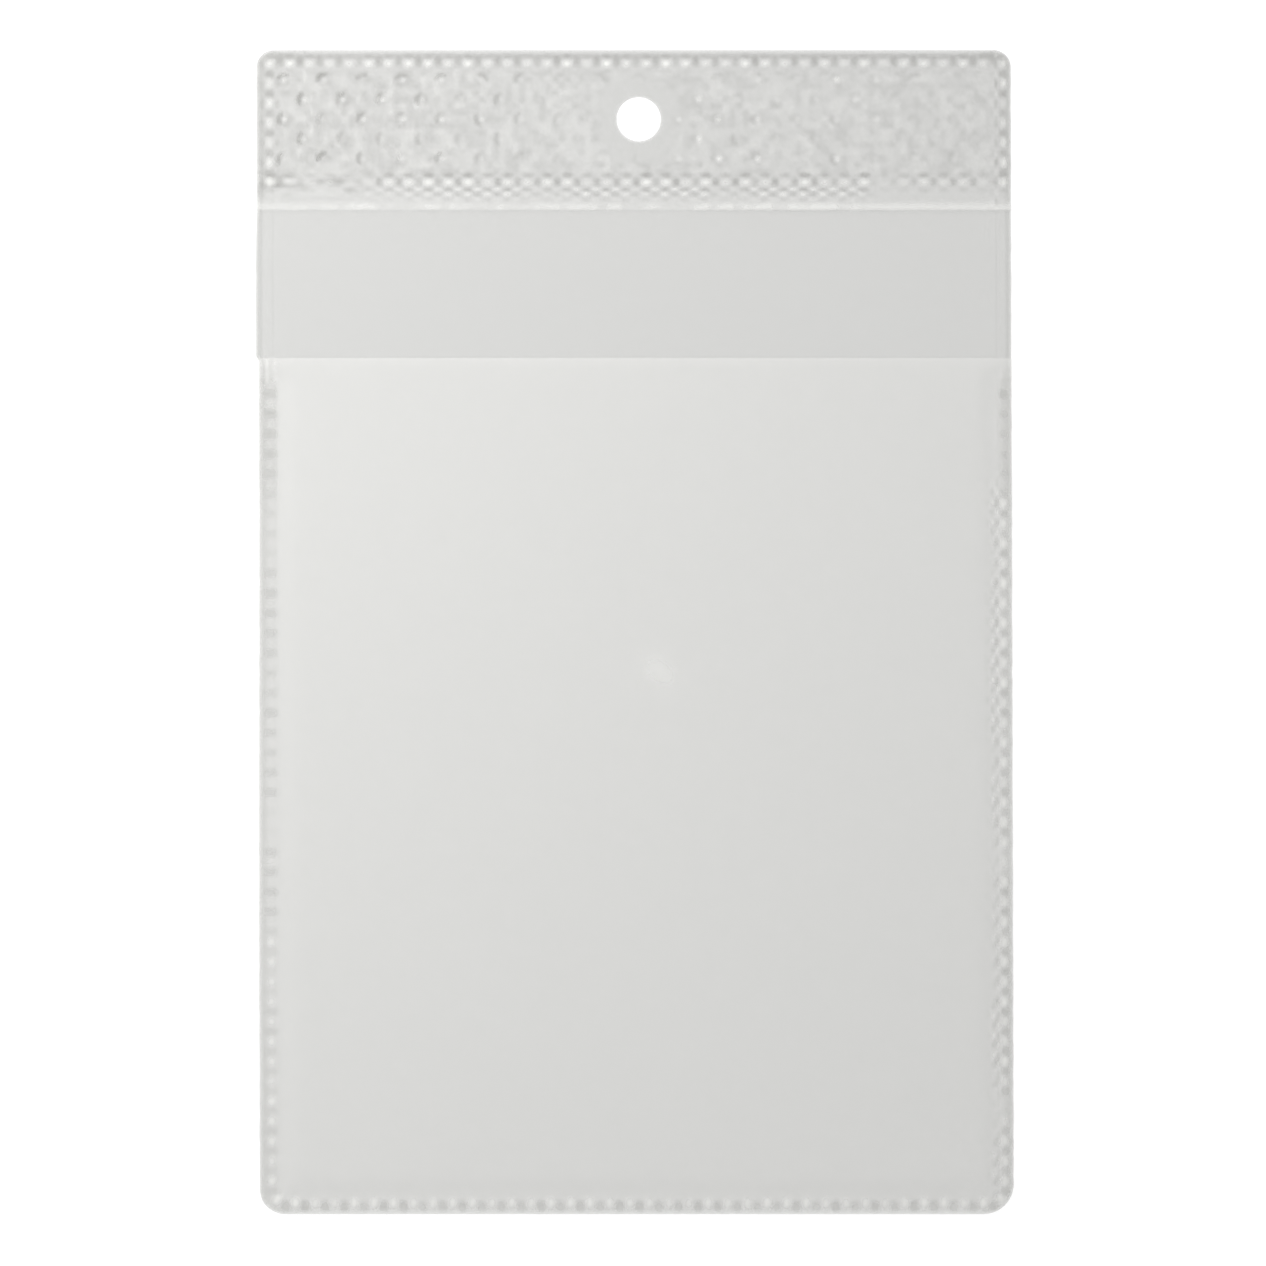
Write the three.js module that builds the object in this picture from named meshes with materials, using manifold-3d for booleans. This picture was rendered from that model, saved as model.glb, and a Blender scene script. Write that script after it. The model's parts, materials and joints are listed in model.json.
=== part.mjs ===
// A clear document pocket for an A6 sheet: three soft films welded to each other, with a hole to hang it by.
// It lies on its back, in millimetres, with X across, Y up the pocket and Z out of its front.
import * as THREE from "three";
import { mergeVertices } from "three/addons/utils/BufferGeometryUtils.js";
import Module from "manifold-3d";

const wasm = await Module();
wasm.setup();

// The cut outline
const outlineWidth = 114.6;
const outlineHeight = 177;
const topCornerRadius = 2.6;
const bottomLeftRadius = 3.8;
const bottomRightRadius = 4.6;
const cornerSteps = 8;

// The films, and the free space between front and back film when the pocket lies empty
const filmThickness = 0.25;
const pocketGap = 0.3;

// The header, from the top edge down to its free lower edge
const headerHeight = 24.45;
const lipHeight = 3.2;
const lipLift = 0.15;

// The punched hole
const holeDiameter = 6.7;
const holeFromTop = 10.5;
const holeOffset = 0.7;
const holeSides = 40;

// The mouth, and the free strip of the front film above the side welds
const mouthFromTop = 46.8;
const mouthStripHeight = 4;

// From the cut edge to the middle of the line of stitches
const topInset = 2.1;
const bottomInset = 1.6;
const leftInset = 1.95;
const rightInset = 1.25;
const headerWeldToLip = 1.1;

// The stitches pressed into a weld, and the ridges left standing between them
const stitchPitch = 3;
const ridgeWidth = 1;
const stitchWidth = 1.9;
const stitchDepth = 0.12;
const stitchCornerRadius = 2;
const weldMargin = 0.15;
const rampWidth = 1;

// The staggered dots pressed into the header
const dotPitch = 3;
const dotDiameter = 1.8;
const dotDepth = 0.1;
const dotClearance = 0.03;
const dotToHole = 0.4;

// The floor of a pressed mark, as a share of its rim
const floorShare = 0.7;
const markSides = 8;

// The running gap at the line that a free strip bends along
const bendGap = 0.05;

// Edges of the pieces
const left = -outlineWidth / 2;
const right = outlineWidth / 2;
const top = outlineHeight / 2;
const bottom = -outlineHeight / 2;
const weldHalfWidth = stitchWidth / 2 + weldMargin;
const leftLine = left + leftInset;
const rightLine = right - rightInset;
const topLine = top - topInset;
const bottomLine = bottom + bottomInset;
const weldInnerLeft = leftLine + weldHalfWidth;
const weldInnerRight = rightLine - weldHalfWidth;
const weldInnerTop = topLine - weldHalfWidth;
const weldInnerBottom = bottomLine + weldHalfWidth;
const lipEdge = top - headerHeight;
const lipBend = lipEdge + lipHeight;
const headerLowerLine = lipBend + headerWeldToLip;
const fieldBottom = headerLowerLine + weldHalfWidth;
const mouthEdge = top - mouthFromTop;
const mouthBend = mouthEdge - mouthStripHeight;
const holeX = holeOffset;
const holeY = top - holeFromTop;

// Heights of the layers
const backTop = filmThickness;
const weldTop = backTop + filmThickness;
const frontUnder = backTop + pocketGap;
const frontTop = frontUnder + filmThickness;

// Turns a closed geometry into a solid that can be cut and joined.
function solidOf(geometry) {
  const bare = geometry.clone();
  bare.deleteAttribute("normal");
  bare.deleteAttribute("uv");
  const merged = mergeVertices(bare, 1e-5);
  const mesh = new wasm.Mesh({
    numProp: 3,
    vertProperties: new Float32Array(merged.attributes.position.array),
    triVerts: new Uint32Array(merged.index.array),
  });
  return new wasm.Manifold(mesh);
}

// Turns a solid back into a geometry with flat-shaded faces.
function geometryOf(solid) {
  const mesh = solid.getMesh();
  const geometry = new THREE.BufferGeometry();
  geometry.setAttribute("position", new THREE.BufferAttribute(mesh.vertProperties, 3));
  geometry.setIndex(new THREE.BufferAttribute(mesh.triVerts, 1));
  const faceted = geometry.toNonIndexed();
  faceted.computeVertexNormals();
  return faceted;
}

function cutAll(solid, tools) {
  return tools.reduce((rest, tool) => rest.subtract(tool), solid);
}

// A flat piece of film: the shape, from one height to another.
function slab(shape, low, high) {
  const geometry = new THREE.ExtrudeGeometry(shape, {
    depth: high - low,
    bevelEnabled: false,
    curveSegments: cornerSteps,
  });
  geometry.translate(0, 0, low);
  return solidOf(geometry);
}

function rectangle(x0, x1, y0, y1) {
  return new THREE.Shape([
    new THREE.Vector2(x0, y0),
    new THREE.Vector2(x1, y0),
    new THREE.Vector2(x1, y1),
    new THREE.Vector2(x0, y1),
  ]);
}

// The whole cut outline, with its four round corners.
function outline() {
  const shape = new THREE.Shape();
  const corners = [
    [left, bottom, bottomLeftRadius],
    [right, bottom, bottomRightRadius],
    [right, top, topCornerRadius],
    [left, top, topCornerRadius],
  ];
  corners.forEach(([x, y, radius], i) => {
    const middleX = x - Math.sign(x) * radius;
    const middleY = y - Math.sign(y) * radius;
    const start = Math.PI + (i * Math.PI) / 2;
    shape.absarc(middleX, middleY, radius, start, start + Math.PI / 2);
  });
  shape.closePath();
  return shape;
}

// Film pressed onto the back film, over a rectangle, and no further than the cut outline.
function weldBar(x0, x1, y0, y1) {
  const whole = slab(outline(), backTop, weldTop);
  const wanted = slab(rectangle(x0, x1, y0, y1), backTop - filmThickness, weldTop + filmThickness);
  return whole.intersect(wanted);
}

// Film of even thickness over the four corners of its underside, each [x, y, z], counter-clockwise.
function sheared(corners) {
  const positions = [];
  for (const lift of [0, filmThickness]) {
    for (const [x, y, z] of corners) {
      positions.push(x, y, z + lift);
    }
  }
  const faces = [0, 2, 1, 0, 3, 2, 4, 5, 6, 4, 6, 7];
  for (let side = 0; side < 4; side += 1) {
    const next = (side + 1) % 4;
    faces.push(side, next, next + 4, side, next + 4, side + 4);
  }
  const geometry = new THREE.BufferGeometry();
  geometry.setAttribute("position", new THREE.Float32BufferAttribute(positions, 3));
  geometry.setIndex(faces);
  return solidOf(geometry);
}

// The tool for one pressed mark: an eight-sided stub that narrows downwards, half above the film's surface.
function pressedMark(length, width, depth, surface, place, angle) {
  const flatToFlat = 0.5 / Math.cos(Math.PI / markSides);
  const mouth = flatToFlat * (2 - floorShare);
  const floor = flatToFlat * floorShare;
  const geometry = new THREE.CylinderGeometry(mouth, floor, 2 * depth, markSides, 2);
  geometry.rotateY(Math.PI / markSides);
  geometry.rotateX(Math.PI / 2);
  geometry.scale(length, width, 1);
  geometry.rotateZ(angle);
  geometry.translate(place.x, place.y, surface);
  return solidOf(geometry);
}

// Stitches along a path, evenly spaced, with half a ridge at either end.
function stitchesAlong(path) {
  const count = Math.max(1, Math.round(path.getLength() / stitchPitch));
  const length = path.getLength() / count - ridgeWidth;
  return Array.from({ length: count }, (_, i) => {
    const share = (i + 0.5) / count;
    const direction = path.getTangentAt(share);
    const angle = Math.atan2(direction.y, direction.x);
    return pressedMark(length, stitchWidth, stitchDepth, weldTop, path.getPointAt(share), angle);
  });
}

// The pocket's stitches, down each side and along the bottom, on paths that meet halfway round each corner.
function pocketStitches() {
  const r = stitchCornerRadius;
  const leftSide = new THREE.Path();
  leftSide.moveTo(leftLine, mouthBend);
  leftSide.lineTo(leftLine, bottomLine + r);
  leftSide.absarc(leftLine + r, bottomLine + r, r, Math.PI, 1.25 * Math.PI);
  const bottomSide = new THREE.Path();
  bottomSide.absarc(leftLine + r, bottomLine + r, r, 1.25 * Math.PI, 1.5 * Math.PI);
  bottomSide.absarc(rightLine - r, bottomLine + r, r, -Math.PI / 2, -Math.PI / 4);
  const rightSide = new THREE.Path();
  rightSide.absarc(rightLine - r, bottomLine + r, r, -Math.PI / 4, 0);
  rightSide.lineTo(rightLine, mouthBend);
  return [leftSide, bottomSide, rightSide].flatMap(stitchesAlong);
}

// The header's stitches: a box of four straight lines that meet in its corners.
function headerStitches() {
  const corners = [
    new THREE.Vector2(leftLine, topLine),
    new THREE.Vector2(rightLine, topLine),
    new THREE.Vector2(rightLine, headerLowerLine),
    new THREE.Vector2(leftLine, headerLowerLine),
  ];
  return corners.flatMap((corner, i) => {
    const side = new THREE.Path();
    side.moveTo(corner.x, corner.y);
    side.lineTo(corners[(i + 1) % 4].x, corners[(i + 1) % 4].y);
    return stitchesAlong(side);
  });
}

// Dots in staggered rows about the hole, over all of the header inside its welds, clear of the hole's edge.
function headerDots() {
  const reach = dotDiameter / 2 + dotClearance;
  const nearest = holeDiameter / 2 + dotToHole + dotDiameter / 2;
  const columns = Math.ceil(outlineWidth / dotPitch);
  const rows = Math.ceil(headerHeight / dotPitch);
  const dots = [];
  for (let row = -rows; row <= rows; row += 1) {
    for (let column = -columns; column <= columns; column += 1) {
      const place = new THREE.Vector2(holeX + column * dotPitch, holeY + row * dotPitch);
      const staggered = (row + column) % 2 === 0;
      const across = place.x - reach > weldInnerLeft && place.x + reach < weldInnerRight;
      const upright = place.y - reach > fieldBottom && place.y + reach < weldInnerTop;
      const offHole = Math.hypot(place.x - holeX, place.y - holeY) > nearest;
      if (staggered && across && upright && offHole) {
        dots.push(pressedMark(dotDiameter, dotDiameter, dotDepth, weldTop, place, 0));
      }
    }
  }
  return dots;
}

// The punch, long enough to pass through every film.
function punch() {
  const radius = holeDiameter / 2;
  const geometry = new THREE.CylinderGeometry(radius, radius, 4 * frontTop, holeSides);
  geometry.rotateX(Math.PI / 2);
  geometry.translate(holeX, holeY, 0);
  return solidOf(geometry);
}

function backFilm() {
  return slab(outline(), 0, backTop).subtract(punch());
}

function headerFilm() {
  const field = rectangle(weldInnerLeft, weldInnerRight, fieldBottom, weldInnerTop);
  return cutAll(slab(field, backTop, weldTop).subtract(punch()), headerDots());
}

function frontFilm() {
  const plate = rectangle(
    weldInnerLeft + rampWidth,
    weldInnerRight - rampWidth,
    weldInnerBottom + rampWidth,
    mouthBend,
  );
  return slab(plate, frontUnder, frontTop);
}

// The film rises from a weld's inner edge to the level of the front film.
function ramp(outerA, outerB, innerB, innerA) {
  return sheared([
    [...outerA, backTop],
    [...outerB, backTop],
    [...innerB, frontUnder],
    [...innerA, frontUnder],
  ]);
}

function pocketLeftWeld(stitches) {
  const bar = weldBar(left, weldInnerLeft, weldInnerBottom, mouthBend);
  const rise = ramp(
    [weldInnerLeft, mouthBend],
    [weldInnerLeft, weldInnerBottom],
    [weldInnerLeft + rampWidth, weldInnerBottom + rampWidth],
    [weldInnerLeft + rampWidth, mouthBend],
  );
  return cutAll(bar, stitches).add(rise);
}

function pocketRightWeld(stitches) {
  const bar = weldBar(weldInnerRight, right, weldInnerBottom, mouthBend);
  const rise = ramp(
    [weldInnerRight, weldInnerBottom],
    [weldInnerRight, mouthBend],
    [weldInnerRight - rampWidth, mouthBend],
    [weldInnerRight - rampWidth, weldInnerBottom + rampWidth],
  );
  return cutAll(bar, stitches).add(rise);
}

function pocketBottomWeld(stitches) {
  const bar = weldBar(left, right, bottom, weldInnerBottom);
  const rise = ramp(
    [weldInnerLeft, weldInnerBottom],
    [weldInnerRight, weldInnerBottom],
    [weldInnerRight - rampWidth, weldInnerBottom + rampWidth],
    [weldInnerLeft + rampWidth, weldInnerBottom + rampWidth],
  );
  return cutAll(bar, stitches).add(rise);
}

// The free top of the front film, placed from the line that it bends along.
function mouthStrip() {
  return sheared([
    [left, bendGap, -filmThickness],
    [right, bendGap, -filmThickness],
    [right, mouthStripHeight, -filmThickness],
    [left, mouthStripHeight, -filmThickness],
  ]);
}

// The free lower edge of the header film, which rises a little off the back film, placed from its own bend.
function headerLip() {
  return sheared([
    [left, -lipHeight, lipLift - filmThickness],
    [right, -lipHeight, lipLift - filmThickness],
    [right, -bendGap, -filmThickness],
    [left, -bendGap, -filmThickness],
  ]);
}

function clearFilm(color, roughness) {
  return new THREE.MeshStandardMaterial({
    color,
    roughness,
    metalness: 0,
    transparent: true,
    opacity: 0.6,
  });
}

function piece(name, solid, color, roughness) {
  const mesh = new THREE.Mesh(geometryOf(solid), clearFilm(color, roughness));
  mesh.name = name;
  return mesh;
}

const filmColor = 0xdededc;
const frontColor = 0xe3e3e1;
const weldColor = 0xd2d2d0;
const smooth = 0.25;
const pressed = 0.45;

const stitchesOfPocket = pocketStitches();
const stitchesOfHeader = headerStitches();

function headerWeld(x0, x1, y0, y1) {
  return cutAll(weldBar(x0, x1, y0, y1), stitchesOfHeader);
}

const headerTopWeld = headerWeld(left, right, weldInnerTop, top);
const headerLowerWeld = headerWeld(left, right, lipBend, fieldBottom);
const headerLeftWeld = headerWeld(left, weldInnerLeft, fieldBottom, weldInnerTop);
const headerRightWeld = headerWeld(weldInnerRight, right, fieldBottom, weldInnerTop);

const pocket = new THREE.Group();
pocket.add(piece("back_film", backFilm(), filmColor, smooth));

const front = new THREE.Group();
front.add(piece("front_film", frontFilm(), frontColor, smooth));
front.add(piece("pocket_left_weld", pocketLeftWeld(stitchesOfPocket), weldColor, pressed));
front.add(piece("pocket_right_weld", pocketRightWeld(stitchesOfPocket), weldColor, pressed));
front.add(piece("pocket_bottom_weld", pocketBottomWeld(stitchesOfPocket), weldColor, pressed));
const mouth = new THREE.Group();
mouth.position.set(0, mouthBend, frontTop);
mouth.add(piece("mouth_strip", mouthStrip(), frontColor, smooth));
front.add(mouth);
pocket.add(front);

const header = new THREE.Group();
header.add(piece("header_film", headerFilm(), filmColor, pressed));
header.add(piece("header_top_weld", headerTopWeld, weldColor, pressed));
header.add(piece("header_lower_weld", headerLowerWeld, weldColor, pressed));
header.add(piece("header_left_weld", headerLeftWeld, weldColor, pressed));
header.add(piece("header_right_weld", headerRightWeld, weldColor, pressed));
const lip = new THREE.Group();
lip.position.set(0, lipBend, weldTop);
lip.add(piece("header_lip", headerLip(), filmColor, smooth));
header.add(lip);
pocket.add(header);

export default pocket;
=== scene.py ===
import json
import math
from random import Random

import bpy
import numpy as np
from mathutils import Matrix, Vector, geometry


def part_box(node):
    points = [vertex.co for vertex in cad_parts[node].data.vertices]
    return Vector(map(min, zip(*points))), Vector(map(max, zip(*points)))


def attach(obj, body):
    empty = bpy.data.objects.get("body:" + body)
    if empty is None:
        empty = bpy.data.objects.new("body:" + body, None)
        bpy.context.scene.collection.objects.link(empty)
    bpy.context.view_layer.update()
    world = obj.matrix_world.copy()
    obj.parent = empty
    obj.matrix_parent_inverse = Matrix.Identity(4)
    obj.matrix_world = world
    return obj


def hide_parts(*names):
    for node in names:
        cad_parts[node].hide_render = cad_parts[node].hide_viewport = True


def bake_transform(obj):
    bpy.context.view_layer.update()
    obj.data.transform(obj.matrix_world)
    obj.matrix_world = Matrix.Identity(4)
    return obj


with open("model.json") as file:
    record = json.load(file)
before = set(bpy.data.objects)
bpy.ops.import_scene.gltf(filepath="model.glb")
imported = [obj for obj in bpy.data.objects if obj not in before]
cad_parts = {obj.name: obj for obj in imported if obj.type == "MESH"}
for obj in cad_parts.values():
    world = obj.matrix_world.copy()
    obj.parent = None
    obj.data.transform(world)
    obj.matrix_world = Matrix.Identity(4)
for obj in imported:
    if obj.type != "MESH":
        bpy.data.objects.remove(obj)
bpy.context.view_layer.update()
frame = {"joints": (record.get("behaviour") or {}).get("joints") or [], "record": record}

MM = 0.001

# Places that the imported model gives
joints = {joint["name"]: joint for joint in frame["joints"]}
back_low, back_high = (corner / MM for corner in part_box("back_film"))
front_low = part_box("front_film")[0] / MM
field_low, field_high = (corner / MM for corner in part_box("header_film"))
left, right, bottom, top = back_low.x, back_high.x, back_low.y, back_high.y
film = back_high.z
weld_top = field_high.z
front_rise = front_low.z - film
mouth_bend = joints["mouth_bend"]["pos_m"][1] / MM
mouth_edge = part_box("mouth_strip")[1].y / MM
lip_bend = joints["lip_bend"]["pos_m"][1] / MM
lip_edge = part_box("header_lip")[0].y / MM
lip_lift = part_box("header_lip")[1].z / MM - weld_top
hole_box = np.array(frame["record"]["physics"]["openings"][0]["box_m"]) / MM
hole_x, hole_y = hole_box.mean(0)[:2]

# The lines of stitches, in the middle of their welds
weld_half = (field_low.y - lip_bend) / 2
ramp = front_low.x - field_low.x
left_line = field_low.x - weld_half
right_line = field_high.x + weld_half
top_line = field_high.y + weld_half
lower_line = lip_bend + weld_half
bottom_line = front_low.y - ramp - weld_half

# Shape of the cut outline, the hole, the stitches and the dots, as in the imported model
top_radius = 2.6
bottom_left_radius = 3.8
bottom_right_radius = 4.6
hole_radius = 3.35
stitch_pitch = 3.0
stitch_corner = 2.0
dot_pitch = 3.0
dot_size = 1.8
dot_clearance = 0.03
dot_to_hole = 0.4

# Fine form: depths and heights, and how the front film rises from its welds
stitch_depth = 0.05
ridge_height = 0.03
dot_depth = 0.05
fused_gap = 0.01
weld_slope = 3.0
crown = 0.25
crown_arc = math.pi * 0.62
crown_rise = 8

# The cut edge: its rounding, its waves, its lean, and how far it stands out on the left (drawn in below 0)
edge_round = 0.06
edge_wave = 0.07
wave_pitch = 1.5
out_of_square = 0.0027
proud_header, proud_band = 0.12, 0.30
drawn_at_mouth, drawn_at_bottom = -0.15, 0.07
edge_zone = 3

# The distances between the points of the meshes, and on arcs in degrees
fine_step = 0.2
coarse_step = 3.2
edge_step = 0.35
arc_step = 9
merge_distance = 1e-6

# How many levels a random wave or pattern has, half of them to each side of the middle
random_levels = 400

# What each face of a film holds: milk scatters light as white, and smoke takes it away. Milk also carries the
# painted highlights and smoke the painted shade of many marks, and the extra milk of the front film and of
# the lip is partly painted sheen of their loose layers
back_milk, back_smoke = 0.08, 0.29
front_milk_and_sheen = 0.20
lip_milk_and_sheen, field_milk, field_smoke = 0.10, 0.05, 0.03
edge_share, edge_fade = 0.6, 0.35

# The dark line along the cut edge, and its smoke on the left, on the right, below and above
rim_depth, rim_half, rim_blend = 0.9, 0.9, 0.8
front_rim = (0.06, 0.06, 0.06, 0)
header_rim = (0.06, 0.03, 0, 0.17)

# The marks of every weld: how weak one can be, the painted shades beside the ridges, and the lattice of spots
weakest = 0.4
shade_smoke = 0.26
shade_reach = 1.15
shade_size = (1.3, 0.65)
lattice_row = 0.9
lattice_pitch = 7

# How much milk or smoke the lines along the sides of the back film hold at their strongest
side_milk, side_smoke, inner_smoke = 0.03, 0.06, 0.02

# The same for the marks of the front film, where the line along its mouth and the patch in its middle are
# painted highlights
highlight_patch_milk, mouth_highlight_milk, streak_milk = 0.10, 0.02, 0.10
front_spots_milk, front_spots_smoke = 0.18, 0.12
left_weld_smoke, right_weld_smoke, shadow_smoke = 0.03, 0.045, 0.04
highlight_patch_place = (3.7, -6.0)
highlight_patch_angle = math.radians(-40)
highlight_patch_size = (5.6, 3.6)

# The same for the marks of the header, where the beads and lines along its lip are painted highlights
# The light spots of the dots are painted highlights, and their dark crescents painted shade
bead_highlight_milk, dot_highlight_milk, squiggle_milk = 0.16, 0.24, 0.07
lip_line_highlight_milk, lip_right_highlight_milk = 0.03, 0.11
spots_milk, spots_smoke = 0.36, 0.18
cloudy_milk, cloudy_smoke = 0.14, 0.07
ripple_milk, ripple_smoke = 0.12, 0.22
crescent_shade_smoke, left_field_smoke = 0.38, 0.03

# The dots fade from the left to the right, where some show as painted light spots instead
dots_fade, dots_fading = (-45, -5), 0.75
light_dots_start, light_dots_end = (2, 10), (30, 46)

# The film's own tones, and how the light goes through it
milk_tone, milk_blue = 0.97, 0.975
smoke_tone, smoke_blue = 0.32, 0.94
cloud_share = 0.1
lamp_passes = 0.7
film_ior = 1.53
smooth_roughness, worked_roughness = 0.22, 0.2


def smooth(value, low, high):
    """Goes smoothly from 0 at low to 1 at high."""
    share = np.clip((value - low) / (high - low), 0, 1)
    return share * share * (3 - 2 * share)


def window(value, start, end):
    """Goes smoothly from 0 to 1 over the two values of start, and back to 0 over those of end."""
    return smooth(value, *start) * (1 - smooth(value, *end))


def line_at(value, place, half):
    """1 at a place, falling smoothly to 0 at half a width to each side of it."""
    return 1 - smooth(np.abs(value - place), 0, half)


def above_zero(value):
    return np.maximum(value, 0)


def uneven(value, pitch, seed):
    """A smooth random wave from 0 to 1, with a new level at each pitch."""
    draw = Random(seed)
    levels = np.array([draw.random() for _ in range(random_levels)])
    place = value / pitch + random_levels // 2
    low = np.floor(place).astype(int)
    return levels[low] + (levels[low + 1] - levels[low]) * smooth(place - low, 0, 1)


def mottled(points, width, height, seed):
    """A smooth random pattern from -1 to 1, with a new level at each width and height."""
    levels = np.random.default_rng(seed).uniform(-1, 1, (random_levels, random_levels))
    place = points / (width, height) + random_levels // 2
    low = np.floor(place).astype(int)
    share = smooth(place - low, 0, 1)
    (i, j), (a, b) = low.T, share.T
    lower = levels[i, j] * (1 - a) + levels[i + 1, j] * a
    upper = levels[i, j + 1] * (1 - a) + levels[i + 1, j + 1] * a
    return lower * (1 - b) + upper * b


# Plan: outlines, and lines of stitches


class Plan:
    """One film seen from above: a rectangle with its own radius at each corner, and perhaps the hole."""

    def __init__(self, low_y, high_y, lower_radii, upper_radii, has_hole):
        self.low = np.array([left, low_y])
        self.high = np.array([right, high_y])
        self.lower_radii, self.upper_radii = lower_radii, upper_radii
        self.has_hole = has_hole

    def depth(self, points):
        """How far inside the nearest cut edge each point lies."""
        middle = (self.low + self.high) / 2
        x, y = (points - middle).T
        upper = np.where(x < 0, *self.upper_radii)
        lower = np.where(x < 0, *self.lower_radii)
        radius = np.where(y < 0, lower, upper)
        over = np.abs(points - middle) - (self.high - self.low) / 2 + radius[:, None]
        depth = radius - np.hypot(*above_zero(over).T) - np.minimum(over.max(1), 0)
        if self.has_hole:
            depth = np.minimum(depth, from_hole(points) - hole_radius)
        return depth

    def loops(self):
        """The outline, counter-clockwise, and the hole, clockwise."""
        corners = [
            (self.low[0], self.low[1], self.lower_radii[0], 180),
            (self.high[0], self.low[1], self.lower_radii[1], 270),
            (self.high[0], self.high[1], self.upper_radii[1], 0),
            (self.low[0], self.high[1], self.upper_radii[0], 90),
        ]
        outline = []
        for x, y, radius, start in corners:
            middle = (x - math.copysign(radius, x), y + (radius if start >= 180 else -radius))
            outline += arc(*middle, radius, start, start + 90)
        found = [dense(outline)]
        if self.has_hole:
            found.append(dense(arc(hole_x, hole_y, hole_radius, 360, 5)))
        return found


def from_hole(points):
    """The distance from each point to the middle of the hole."""
    return np.hypot(points[:, 0] - hole_x, points[:, 1] - hole_y)


def arc(x, y, radius, start, end):
    """Points on an arc about x, y, with its angles in degrees, or the one point where its radius is 0."""
    if not radius:
        return [(x, y)]
    steps = max(2, round(abs(end - start) / arc_step))
    angles = np.radians(np.linspace(start, end, steps + 1))
    return [(x + radius * math.cos(a), y + radius * math.sin(a)) for a in angles]


def dense(loop):
    """The same closed loop with its points no further apart than edge_step."""
    points = []
    for (ax, ay), (bx, by) in zip(loop, loop[1:] + loop[:1]):
        count = max(1, math.ceil(math.hypot(bx - ax, by - ay) / edge_step))
        for i in range(count):
            points.append((ax + (bx - ax) * i / count, ay + (by - ay) * i / count))
    return points


class Weld:
    """A line of stitches that runs counter-clockwise round its film, with a raised ridge between each two.

    stitch and ridge are each (how far out of the line, half length, half width). Beside every ridge lies a
    painted shade, with its strengths inside and outside the line in shade. dark is the smoke of a stitch, as
    painted shade, and light the milk of a ridge, as a painted highlight. The marks are fainter or stronger in
    some stretches of the line, each given as (start, end, share), and the ridges in ridge_stretches too.
    """

    def __init__(self, path, stitch, ridge, shade, dark, light, seed, stretches=(), ridge_stretches=()):
        self.path = np.array(path)
        self.stitch, self.ridge, self.shade = stitch, ridge, shade
        self.dark, self.light = dark, light
        self.stretches, self.ridge_stretches = stretches, ridge_stretches
        self.draw = Random(seed)
        self.reach = np.concatenate([[0], np.cumsum(np.hypot(*np.diff(self.path, axis=0).T))])
        self.count = round(self.reach[-1] / stitch_pitch)

    def places(self, start, count, outward, stretches):
        """The middle and the direction of every pitch from start on, with a random strength."""
        pitch = self.reach[-1] / self.count
        step = 0.05
        for i in range(count):
            distance = (start + i) * pitch
            ends = [max(distance - step, 0), min(distance + step, self.reach[-1])]
            (ax, bx), (ay, by) = (np.interp(ends, self.reach, self.path[:, k]) for k in (0, 1))
            angle = math.atan2(by - ay, bx - ax)
            x = (ax + bx) / 2 + outward * math.sin(angle)
            y = (ay + by) / 2 - outward * math.cos(angle)
            full = math.prod(share for low, high, share in stretches if low < distance < high)
            yield x, y, angle, full * self.draw.uniform(weakest, 1)

    def marks(self, points):
        """How far each point is pressed by a stitch, raised by a ridge and shaded by one, from 0 to 1."""
        stitches = self.places(0.5, self.count, self.stitch[0], self.stretches)
        ridge_stretches = (*self.stretches, *self.ridge_stretches)
        ridges = list(self.places(0, self.count + 1, self.ridge[0], ridge_stretches))
        pressed = stamped(points, stitches, *self.stitch[1:], power=2.6, inner=0)
        raised = stamped(points, ridges, *self.ridge[1:], power=2, inner=0.1)
        shades = []
        for side, share in zip((-shade_reach, shade_reach), self.shade):
            for x, y, angle, strength in ridges:
                beside = (x + side * math.sin(angle), y - side * math.cos(angle))
                shades.append((*beside, angle, share * strength))
        return pressed, raised, stamped(points, shades, *shade_size, power=2, inner=0)


def stamped(points, places, half_length, half_width, power, inner):
    """The strength of each mark: full up to its inner share, falling to 0 at its outline.

    A power of 2 gives an oval, and a higher one is more like a rectangle.
    """
    field = np.zeros(len(points))
    for x, y, angle, strength in places:
        near = np.flatnonzero(np.abs(points - (x, y)).max(1) < 1.5 * max(half_length, half_width))
        delta = points[near] - (x, y)
        along = delta @ (math.cos(angle), math.sin(angle)) / half_length
        across = delta @ (-math.sin(angle), math.cos(angle)) / half_width
        far = (np.abs(along) ** power + np.abs(across) ** power) ** (1 / power)
        field[near] = np.maximum(field[near], strength * (1 - smooth(far, inner, 1)))
    return field


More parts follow.
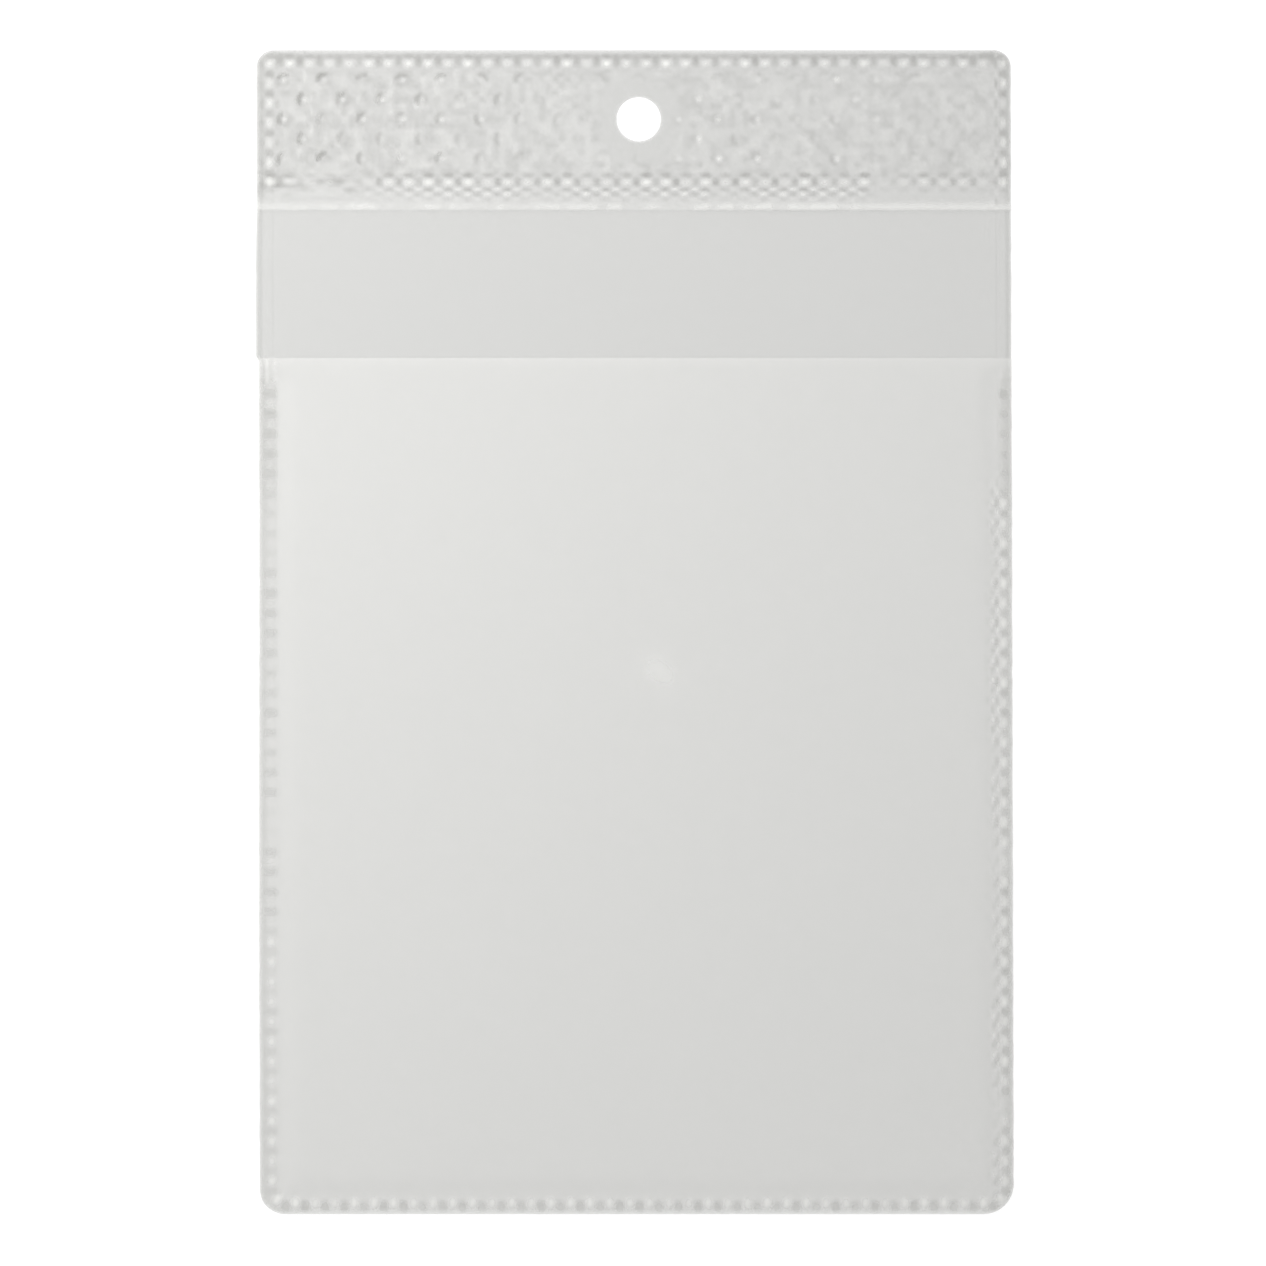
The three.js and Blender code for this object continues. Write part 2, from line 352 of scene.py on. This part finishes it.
def pocket_welds():
    """The welds of the front film: down the left side, along the bottom and up the right side."""
    r = stitch_corner
    near, far, low = left_line + r, right_line - r, bottom_line + r
    left_path = [(left_line, mouth_bend)] + arc(near, low, r, 180, 225)
    bottom_path = arc(near, low, r, 225, 270) + arc(far, low, r, 270, 315)
    right_path = arc(far, low, r, 315, 360) + [(right_line, mouth_bend)]
    # The dark of each weld is painted shade at its stitches, and its light a painted highlight on its ridges
    return [
        Weld(
            left_path,
            stitch=(0.1, 1.15, 1.6),
            ridge=(0.1, 1.1, 1.0),
            shade=(0, 0),
            dark=0.18,
            light=0.20,
            seed=1,
            stretches=[(0, 5, 2), (5, 12, 1.3), (12, 18, 0.8), (18, 27, 0.4), (65, 70, 0.2), (82, 200, 0.6)],
            ridge_stretches=[(-1, 82, 0.1), (82, 200, 1.6)],
        ),
        Weld(
            bottom_path,
            stitch=(0.35, 1.0, 1.4),
            ridge=(-0.15, 0.95, 1.3),
            shade=(0, 0),
            dark=0.21,
            light=0.26,
            seed=2,
        ),
        Weld(
            right_path,
            stitch=(0.0, 1.0, 1.0),
            ridge=(-0.1, 1.25, 0.85),
            shade=(0.6, 0.3),
            dark=0.24,
            light=0.26,
            seed=3,
            stretches=[(11, 16, 0.3), (49.5, 53.5, 0.3), (110, 121, 0.4), (121, 200, 1.4)],
            ridge_stretches=[(106, 200, 0)],
        ),
    ]


def header_welds():
    """The welds of the header: down its left side, along its bottom, up its right side and along its top."""
    a, b = (left_line, top_line), (left_line, lower_line)
    c, d = (right_line, lower_line), (right_line, top_line)
    # The dark of each weld is painted shade at its stitches, and its light a painted highlight on its ridges
    return [
        Weld(
            [a, b],
            stitch=(0.05, 1.0, 1.05),
            ridge=(0.05, 1.2, 0.85),
            shade=(0.9, 0.6),
            dark=0.32,
            light=0.44,
            seed=4,
        ),
        Weld(
            [b, c],
            stitch=(-0.1, 0.85, 1.0),
            ridge=(0.0, 1.3, 0.85),
            shade=(1.3, 0.5),
            dark=0.30,
            light=0.42,
            seed=5,
            stretches=[(2, 16, 0.3), (16, 20, 1.6), (91.5, 95.5, 0.2), (95.5, 120, 0.65)],
        ),
        Weld(
            [c, d],
            stitch=(0.0, 1.0, 1.0),
            ridge=(0.12, 1.15, 0.7),
            shade=(0.3, 0.3),
            dark=0.24,
            light=0.42,
            seed=6,
        ),
        Weld(
            [d, a],
            stitch=(0.4, 0.95, 1.25),
            ridge=(0.0, 1.1, 0.9),
            shade=(0.2, 0.6),
            dark=0.30,
            light=0.44,
            seed=7,
        ),
    ]


def header_dots():
    """The middles of the staggered dots that fit between the welds and the hole."""
    reach = dot_size / 2 + dot_clearance
    nearest = hole_radius + dot_to_hole + dot_size / 2
    for row in range(-9, 10):
        for column in range(-40, 41):
            x, y = hole_x + column * dot_pitch, hole_y + row * dot_pitch
            staggered = (row + column) % 2 == 0
            across = field_low.x < x - reach and x + reach < field_high.x
            upright = field_low.y < y - reach and y + reach < field_high.y
            if staggered and across and upright and math.hypot(x - hole_x, y - hole_y) > nearest:
                yield x, y


# Meshes


def sample_points(plan, busy):
    """Points of a lattice inside a plan: fine where busy says 0, and coarser further from there."""
    chosen = []
    step, near = fine_step, -1
    while step <= coarse_step:
        xs = np.arange(plan.low[0] + step / 2, plan.high[0], step)
        ys = np.arange(plan.low[1] + step / 2, plan.high[1], step)
        points = np.stack(np.meshgrid(xs, ys), -1).reshape(-1, 2)
        away = busy(points)
        far = 3 * step if step < coarse_step else np.inf
        chosen.append(points[(away > near) & (away <= far)])
        near = far + step / 2
        step *= 2
    points = np.concatenate(chosen)
    return points[plan.depth(points) > edge_round + fine_step / 2]


def inset(loop, distance):
    """A closed loop moved to its left by a distance, which is inwards where it runs counter-clockwise."""
    points = np.array(loop)
    along = np.roll(points, -1, 0) - np.roll(points, 1, 0)
    along /= np.hypot(*along.T)[:, None]
    normal = np.column_stack([-along[:, 1], along[:, 0]])
    return [tuple(point) for point in points + distance * normal]


def drawn_in(points):
    """The film a little out of square, and its left edge proud above the mouth and drawn in below it."""
    x, y = points.T
    above = proud_header + (proud_band - proud_header) * smooth(y, lip_edge, lip_edge - 8)
    along_weld = smooth(y, mouth_edge - 10, bottom + 30)
    below = drawn_at_mouth + (drawn_at_bottom - drawn_at_mouth) * along_weld
    proud = below + (above - below) * smooth(y, mouth_edge - 0.6, mouth_edge + 0.4)
    proud += edge_wave * (uneven(y, wave_pitch, 21) - 0.5)
    swollen = edge_wave * (uneven(y, wave_pitch, 22) - 0.5)
    at_left, at_right = 1 - smooth(x, left, left + edge_zone), smooth(x, right - edge_zone, right)
    moved = swollen * at_right - proud * at_left
    return np.column_stack([x + moved - out_of_square * y, y])


def film_piece(name, plan, busy, heights, marks):
    """A closed film between two heights over the same triangles, with marks kept on its points."""
    flat, edges = [], []
    for loop in plan.loops():
        start = len(flat)
        flat += loop
        edges += [(start + i, start + (i + 1) % len(loop)) for i in range(len(loop))]
    for loop in plan.loops():
        flat += inset(loop, edge_round)
    flat += [tuple(point) for point in sample_points(plan, busy)]
    placed, _, faces, sources, _, _ = geometry.delaunay_2d_cdt(
        [Vector(point) for point in flat], edges, [], 1, merge_distance, True
    )
    points = np.array([tuple(point) for point in placed])
    triangles = np.array([tuple(face) for face in faces])
    triangles = triangles[plan.depth(points[triangles].mean(1)) > 0]
    share = 1 - np.clip(plan.depth(points) / edge_round, 0, 1)
    drop = edge_round * (1 - np.sqrt(1 - share**2))
    under, over = heights(points)
    moved = drawn_in(points)
    body = np.vstack([np.column_stack([moved, over - drop]), np.column_stack([moved, under + drop])])
    now = {source: i for i, ids in enumerate(sources) for source in ids}
    count = len(points)
    walls = [(now[b], now[a], now[a] + count, now[b] + count) for a, b in edges]
    faces = triangles.tolist() + (triangles[:, ::-1] + count).tolist() + walls
    mesh = bpy.data.meshes.new(name)
    mesh.from_pydata((body * MM).tolist(), [], faces)
    mesh.polygons.foreach_set("use_smooth", [True] * len(mesh.polygons))
    for key, values in marks(points).items():
        attribute = mesh.attributes.new(key, "FLOAT", "POINT")
        attribute.data.foreach_set("value", np.tile(values, 2).astype(np.float32))
    mesh.update()
    piece = bpy.data.objects.new(name, mesh)
    bpy.context.scene.collection.objects.link(piece)
    return piece


def outside_weld(points):
    """The distance from each point to the pocket's weld, 0 in the weld."""
    x, y = points.T
    inward = np.minimum(x - field_low.x, field_high.x - x)
    inward = above_zero(np.minimum(inward, y - bottom_line - weld_half))
    return np.hypot(inward, above_zero(y - mouth_bend))


def all_marks(points, welds):
    """The marks of several welds: pressed and raised from 0 to 1, and the smoke and milk of their painted
    shade and highlights.
    """
    pressed, raised, dark, light = np.zeros((4, len(points)))
    for weld in welds:
        stitch, ridge, shade = weld.marks(points)
        pressed = np.maximum(pressed, stitch)
        raised = np.maximum(raised, ridge)
        dark = np.maximum(dark, np.maximum(weld.dark * stitch, shade_smoke * shade))
        light = np.maximum(light, weld.light * ridge)
    return pressed, raised, dark * (1 - raised), light


def thinned(points, plan, milk, smoke):
    """Milk and smoke as they are, but less towards the cut edge, where the film is rounded off."""
    left_over = edge_share + (1 - edge_share) * smooth(plan.depth(points), 0, edge_fade)
    return milk * left_over, smoke * left_over


def rim(points, plan, shares):
    """A dark line along the cut edge, with its own strength on the left, on the right, below and above."""
    x, y = points.T
    distances = np.array([x - left, right - x, y - plan.low[1], plan.high[1] - y])
    nearness = np.exp(-distances / rim_blend)
    outer = smooth(from_hole(points), hole_radius + 2, hole_radius + 3)
    line = outer * line_at(plan.depth(points), rim_depth, rim_half)
    return line * (np.array(shares) @ nearness) / nearness.sum(0)


def lattice(along, across, reach, seed):
    """The faint lattice of light and dark spots beside a line of stitches, from -1 to 1.

    It keeps step with the ridges, starts 0.6 from their line and fades out at its reach.
    """
    spots = np.cos(2 * math.pi * along / stitch_pitch) * np.cos(math.pi * across / lattice_row)
    strength = smooth(across, 0.6, 1.1) * smooth(-across, -reach, -1.1)
    return spots * strength * (weakest + (1 - weakest) * smooth(uneven(along, lattice_pitch, seed), 0.2, 0.6))


back_plan = Plan(bottom, top, (bottom_left_radius, bottom_right_radius), (top_radius, top_radius), True)
front_plan = Plan(bottom, mouth_edge, (bottom_left_radius, bottom_right_radius), (0, 0), False)
header_plan = Plan(lip_edge, top, (0, 0), (top_radius, top_radius), True)


def back_heights(points):
    flat = np.zeros(len(points))
    return flat, flat + film


def back_marks(points):
    """A light line between two dark ones along each side of the back film."""
    side = np.minimum(points[:, 0] - left, right - points[:, 0])
    milk = back_milk + side_milk * line_at(side, place=1.4, half=0.9)
    smoke = back_smoke + side_smoke * line_at(side, place=0.6, half=0.6)
    smoke += inner_smoke * line_at(side, place=2.3, half=0.3)
    milk, smoke = thinned(points, back_plan, milk, smoke)
    return {"milk": milk, "smoke": smoke, "worked": np.zeros(len(points))}


def back_busy(points):
    side = np.minimum(points[:, 0] - left, right - points[:, 0])
    return np.minimum(above_zero(side - 2.5), from_hole(points) - hole_radius - 1)


def front_heights(points):
    """A film that lies on the back film in the welds, and rises from them to a slight crown."""
    x, y = points.T
    away = outside_weld(points)
    pressed, raised, _, _ = all_marks(points, pocket_welds())
    across = np.clip((x - left_line) / (right_line - left_line), 0, 1)
    upright = np.clip((y - bottom_line) / (mouth_edge - bottom_line), 0, 1)
    swell = crown * np.sin(math.pi * across) * np.sin(crown_arc * upright) * smooth(away, 0, crown_rise)
    under = film + fused_gap + (front_rise - fused_gap) * smooth(away, 0, weld_slope) + swell
    return under, under + film - stitch_depth * pressed + ridge_height * raised


def front_marks(points):
    """The looks of the front film: its welds, its free mouth, spots beside the right weld and a patch of
    painted highlight.
    """
    x, y = points.T
    from_left = x - left
    pressed, raised, dark, light = all_marks(points, pocket_welds())
    inward = above_zero(np.minimum(np.minimum(x - left_line, right_line - x), y - bottom_line))
    fused = 1 - smooth(np.hypot(inward, above_zero(y - mouth_bend)), 0.6, 1.2)
    left_weld = fused * (1 - smooth(x - left_line, 1, 3)) * smooth(y, -30, 10)
    right_weld = fused * smooth(right_line - x, -3, -1) * smooth(y, 17, 24)
    # A patch of painted highlight in the middle of the pocket
    highlight_patch = stamped(points, [(*highlight_patch_place, highlight_patch_angle, 1)], *highlight_patch_size, power=2, inner=0)
    # A line of painted highlight along the free mouth
    mouth = line_at(y, mouth_edge - 0.9, 0.9)
    above_weld = smooth(y, mouth_bend - 0.3, mouth_bend + 0.5)
    streak = above_weld * (line_at(from_left, 1.34, 0.6) + 0.6 * line_at(from_left, 2.6, 0.7))
    shadow = above_weld * (line_at(from_left, 1.9, 0.6) + line_at(from_left, 0.6, 0.6))
    below_mouth = smooth(mouth_bend - y, 12, 18) * smooth(y - bottom_line, 1, 4)
    spots = lattice(y - mouth_bend, right_line - x, reach=3.6, seed=12) * below_mouth
    # The front film's own milk is partly painted sheen
    milk = front_milk_and_sheen + light + highlight_patch_milk * highlight_patch + mouth_highlight_milk * mouth + streak_milk * streak
    milk += front_spots_milk * above_zero(spots)
    smoke = dark + left_weld_smoke * left_weld + right_weld_smoke * right_weld + shadow_smoke * shadow
    smoke += front_spots_smoke * above_zero(-spots) + rim(points, front_plan, front_rim)
    milk, smoke = thinned(points, front_plan, milk, smoke)
    return {"milk": milk, "smoke": smoke, "worked": np.maximum(pressed, raised)}


def front_busy(points):
    away = above_zero(outside_weld(points) - ramp)
    below = above_zero(mouth_bend - 1 - points[:, 1])
    to_highlight_patch = above_zero(np.hypot(*(points - highlight_patch_place).T) - 3)
    return np.minimum(np.minimum(away, below), to_highlight_patch + 2)


def dot_marks(points):
    """The dents, and the dark crescent and the light spot that the light gives each, painted as shade and
    highlight.
    """
    dents, dark, clear = np.zeros((3, len(points)))
    draw = Random(8)
    for x, y in header_dots():
        near = np.flatnonzero(np.abs(points - (x, y)).max(1) < dot_size)
        across, upright = (points[near] - (x, y)).T / (dot_size / 2)
        far = np.hypot(across, upright)
        faded = 1 - dots_fading * smooth(x, *dots_fade)
        at_right = window(x, light_dots_start, light_dots_end)
        turn = draw.gauss(0.25, 0.2 + 0.6 * (1 - faded)) + 1.1 * smooth(y, 80, 83)
        toward = math.sin(turn) * upright - math.cos(turn) * across
        facing = smooth(toward, -0.1, 0.7) + draw.uniform(0, 0.35) * smooth(-toward, 0, 0.8)
        crescent = draw.uniform(0.3, 1) * facing * line_at(far, 0.8, 0.75)
        spot = np.hypot(across - 0.15, upright + 0.1)
        spot = draw.uniform(0.2, 1) * (1 - smooth(spot, 0, 0.6 + 0.3 * at_right))
        dents[near] = np.maximum(dents[near], 1 - smooth(far, 0.1, 1))
        dark[near] = np.maximum(dark[near], faded * crescent)
        clear[near] = np.maximum(clear[near], (faded + at_right) * spot)
    return dents, dark, clear


def header_heights(points):
    """A film that lies on the back film and lifts a little towards the edge of its lip."""
    y = points[:, 1]
    pressed, raised, _, _ = all_marks(points, header_welds())
    dents, _, _ = dot_marks(points)
    lift = lip_lift * np.clip((lip_bend - y) / (lip_bend - lip_edge), 0, 1)
    under = film + fused_gap + lift
    return under, under + film - stitch_depth * pressed + ridge_height * raised - dot_depth * dents


def header_marks(points):
    """The looks of the header: its welds, its field of dots, the spots below it and the painted highlights on
    its lip.
    """
    x, y = points.T
    pressed, raised, dark, light = all_marks(points, header_welds())
    dents, painted_crescents, clear = dot_marks(points)
    at_left = 1 - smooth(x, -45, -10)
    lip = 1 - smooth(y, lip_edge + 0.4, lip_edge + 2.3)
    fused = 1 - smooth(y, lip_bend - 0.4, lower_line + 0.4)
    field = smooth(header_plan.depth(points), 2.5, 4) * smooth(y, lower_line + 0.5, lower_line + 2)
    # Beads of painted highlight along the lip, even towards its ends
    plain = np.maximum(smooth(x, 30, 38), smooth(-x, 46, 52))
    beads = line_at(y, lip_edge + 0.35 + 0.35 * uneven(x, 1.1, 11), 0.95)
    beads *= 0.5 * plain + (1 - plain) * smooth(uneven(x, 1.2, 10), 0.2, 0.8)
    # Spots below the lower weld and beside the right one
    spots = lattice(x - left_line, lower_line - y, reach=3.6, seed=9) * window(x, (-46, -38), (32, 38))
    spots += 0.6 * lattice(y - lower_line, right_line - x, reach=2.4, seed=15)
    # The mottled film between the dots, and ripples where the lower weld starts
    cloudy = field * mottled(points, 1.0, 1.0, 13)
    squiggles = field * at_left * line_at(mottled(points, 1.1, 3, 14), 0, 0.5)
    ripples = mottled(points, 2.4, 0.7, 16) * line_at(y, lower_line - 0.2, 3) * (1 - smooth(x, -44, -38))
    # The lip's extra milk is partly painted sheen
    milk = field_milk + (lip_milk_and_sheen - field_milk) * lip + light
    milk += bead_highlight_milk * beads + dot_highlight_milk * clear + squiggle_milk * squiggles
    # Lines of painted highlight along the edge of the lip
    milk += lip_right_highlight_milk * smooth(x, 0, 30) * line_at(y, lip_edge + 0.5, 1.1)
    milk += lip_line_highlight_milk * line_at(y, lip_edge + 0.8, 1.0)
    milk += spots_milk * above_zero(spots) + cloudy_milk * above_zero(cloudy)
    milk += ripple_milk * above_zero(-ripples)
    smoke = field_smoke * (1 - fused * (0.6 + 0.3 * at_left)) + left_field_smoke * at_left * field
    smoke += dark + crescent_shade_smoke * painted_crescents
    smoke += spots_smoke * above_zero(-spots) + cloudy_smoke * above_zero(-cloudy)
    smoke += ripple_smoke * above_zero(ripples) + rim(points, header_plan, header_rim)
    milk, smoke = thinned(points, header_plan, milk, smoke)
    return {"milk": milk, "smoke": smoke, "worked": np.maximum(np.maximum(pressed, raised), 0.5 * dents)}


def header_busy(points):
    return np.zeros(len(points))


# Materials


class Tree:
    """The nodes of one material."""

    def __init__(self, name):
        self.material = bpy.data.materials.new(name)
        self.material.use_nodes = True
        self.nodes = self.material.node_tree.nodes
        self.links = self.material.node_tree.links
        self.shader = self.nodes["Principled BSDF"]

    def add(self, kind, values=(), **settings):
        node = self.nodes.new(kind)
        for key, value in settings.items():
            setattr(node, key, value)
        for key, value in dict(values).items():
            self.feed(node.inputs[key], value)
        return node

    def feed(self, socket, value):
        if isinstance(value, bpy.types.NodeSocket):
            self.links.new(value, socket)
        else:
            socket.default_value = value

    def mark(self, name):
        return self.add("ShaderNodeAttribute", attribute_name=name).outputs["Fac"]

    def math(self, operation, a, b, clamp=False):
        node = self.add("ShaderNodeMath", {0: a, 1: b}, operation=operation)
        node.use_clamp = clamp
        return node.outputs[0]

    def mix(self, share, a, b):
        node = self.add("ShaderNodeMix", {0: share, 6: a, 7: b}, data_type="RGBA")
        return node.outputs[2]


def grey(value, blue=1):
    return (value, value, value * blue, 1)


def film_look(name):
    """Clear soft film. Each face holds a little milk and smoke, and more where it is pressed or raised, as
    painted shade and highlights.
    """
    tree = Tree(name)
    place = tree.add("ShaderNodeTexCoord").outputs["Object"]
    cloud = tree.add("ShaderNodeTexNoise", {"Vector": place, "Scale": 30, "Detail": 3}).outputs["Fac"]
    clouded = tree.math("ADD", 1 - cloud_share / 2, tree.math("MULTIPLY", cloud, cloud_share))
    milk = tree.math("MULTIPLY", tree.mark("milk"), clouded)
    smoke = tree.mark("smoke")
    cover = tree.math("ADD", milk, smoke, clamp=True)
    share = tree.math("DIVIDE", milk, cover, clamp=True)
    tone = tree.mix(share, grey(smoke_tone, smoke_blue), grey(milk_tone, milk_blue))
    tree.feed(tree.shader.inputs["Base Color"], tone)
    from_lamp = tree.add("ShaderNodeLightPath").outputs["Is Shadow Ray"]
    kept = tree.math("SUBTRACT", 1, tree.math("MULTIPLY", from_lamp, lamp_passes))
    tree.feed(tree.shader.inputs["Alpha"], tree.math("MULTIPLY", cover, kept))
    tree.shader.inputs["IOR"].default_value = film_ior
    ripple = tree.add("ShaderNodeTexNoise", {"Vector": place, "Scale": 900, "Detail": 2}).outputs["Fac"]
    bump = tree.add("ShaderNodeBump", {"Strength": 0.06, "Distance": 0.00005, "Height": ripple})
    tree.feed(tree.shader.inputs["Normal"], bump.outputs["Normal"])
    worked = tree.math("MULTIPLY", tree.mark("worked"), worked_roughness)
    tree.feed(tree.shader.inputs["Roughness"], tree.math("ADD", smooth_roughness, worked))
    return tree.material


clear_look = film_look("clear_film_look")
dotted_look = film_look("dotted_film_look")


# The three films

back = film_piece("clear_back_film", back_plan, back_busy, back_heights, back_marks)
back.data.materials.append(clear_look)
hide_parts("back_film")
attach(back, "pocket")

front = film_piece("clear_front_film", front_plan, front_busy, front_heights, front_marks)
front.data.materials.append(clear_look)
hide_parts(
    "front_film", "mouth_strip", "pocket_left_weld", "pocket_right_weld", "pocket_bottom_weld"
)
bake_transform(front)

header = film_piece("clear_header_film", header_plan, header_busy, header_heights, header_marks)
header.data.materials.append(dotted_look)
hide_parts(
    "header_film",
    "header_lip",
    "header_top_weld",
    "header_lower_weld",
    "header_left_weld",
    "header_right_weld",
)
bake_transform(header)


# The studio


def seen_rays(nodes, links):
    """1 for rays by which the camera sees a surface: straight, in a gloss or through a clear body."""
    rays = nodes.new("ShaderNodeLightPath").outputs
    level = rays["Is Camera Ray"]
    for name in ("Is Glossy Ray", "Is Transmission Ray"):
        either = nodes.new("ShaderNodeMath")
        either.operation = "MAXIMUM"
        links.new(level, either.inputs[0])
        links.new(rays[name], either.inputs[1])
        level = either.outputs[0]
    return level


def white_surround(name, light, seen):
    """The world: light for the object, and plain white wherever the camera or a gloss sees it."""
    world = bpy.data.worlds.new(name)
    world.use_nodes = True
    nodes, links = world.node_tree.nodes, world.node_tree.links
    nodes["Background"].inputs["Color"].default_value = grey(1)
    level = nodes.new("ShaderNodeMapRange")
    level.inputs["To Min"].default_value = light
    level.inputs["To Max"].default_value = seen
    links.new(seen_rays(nodes, links), level.inputs["Value"])
    links.new(level.outputs[0], nodes["Background"].inputs["Strength"])
    bpy.context.scene.world = world


def floor(colour, glow, far_glow):
    """A pale floor that looks white where nothing shades it, also far out, where the lamps don't reach."""
    half, height = 1.5, -0.02 * MM
    lamps_fade, lamps_end = 0.12, 0.3
    mesh = bpy.data.meshes.new("floor")
    corners = [(-half, -half, height), (half, -half, height), (half, half, height), (-half, half, height)]
    mesh.from_pydata(corners, [], [(0, 1, 2, 3)])
    piece = bpy.data.objects.new("floor", mesh)
    bpy.context.scene.collection.objects.link(piece)
    tree = Tree("floor_look")
    seen = seen_rays(tree.nodes, tree.links)
    tree.shader.inputs["Base Color"].default_value = grey(colour)
    tree.shader.inputs["Roughness"].default_value = 0.9
    tree.shader.inputs["Specular IOR Level"].default_value = 0
    tree.shader.inputs["Emission Color"].default_value = grey(1)
    place = tree.add("ShaderNodeTexCoord").outputs["Object"]
    distance = tree.add("ShaderNodeVectorMath", {0: place}, operation="LENGTH").outputs["Value"]
    reach = {"From Min": lamps_fade, "From Max": lamps_end, "To Min": glow, "To Max": far_glow}
    level = tree.add("ShaderNodeMapRange", {"Value": distance, **reach}).outputs[0]
    tree.feed(tree.shader.inputs["Emission Strength"], tree.math("MULTIPLY", seen, level))
    mesh.materials.append(tree.material)


def area_light(name, place, aim, size, power, mirrored):
    """A soft lamp. Its image shows in the gloss of the films only where it is mirrored."""
    lamp = bpy.data.lights.new(name, "AREA")
    lamp.size = size
    lamp.energy = power
    piece = bpy.data.objects.new(name, lamp)
    piece.location = place
    piece.rotation_mode = "QUATERNION"
    piece.rotation_quaternion = (Vector(aim) - Vector(place)).to_track_quat("-Z", "Y")
    piece.visible_glossy = mirrored
    bpy.context.scene.collection.objects.link(piece)


def camera():
    """Straight above the pocket, with seen_width across the picture at the films."""
    seen_width = 0.1926
    lens, sensor = 100, 36
    off_middle = Vector((-0.38, -0.14, 0)) * MM
    data = bpy.data.cameras.new("camera")
    data.lens = lens
    data.sensor_width = sensor
    piece = bpy.data.objects.new("camera", data)
    piece.location = off_middle + Vector((0, 0, seen_width * lens / sensor))
    bpy.context.scene.collection.objects.link(piece)
    bpy.context.scene.camera = piece


lamp_place, lamp_aim, lamp_size = (-0.31, 0.26, 0.30), (0, 0, 0), 0.2
white_surround("studio", light=0.56, seen=1.0)
floor(colour=0.5, glow=0.65, far_glow=0.75)
area_light("key", lamp_place, lamp_aim, lamp_size, power=1.65, mirrored=False)
area_light("glint", lamp_place, lamp_aim, lamp_size, power=0.30, mirrored=True)
camera()
bpy.context.scene.view_settings.view_transform = "Standard"
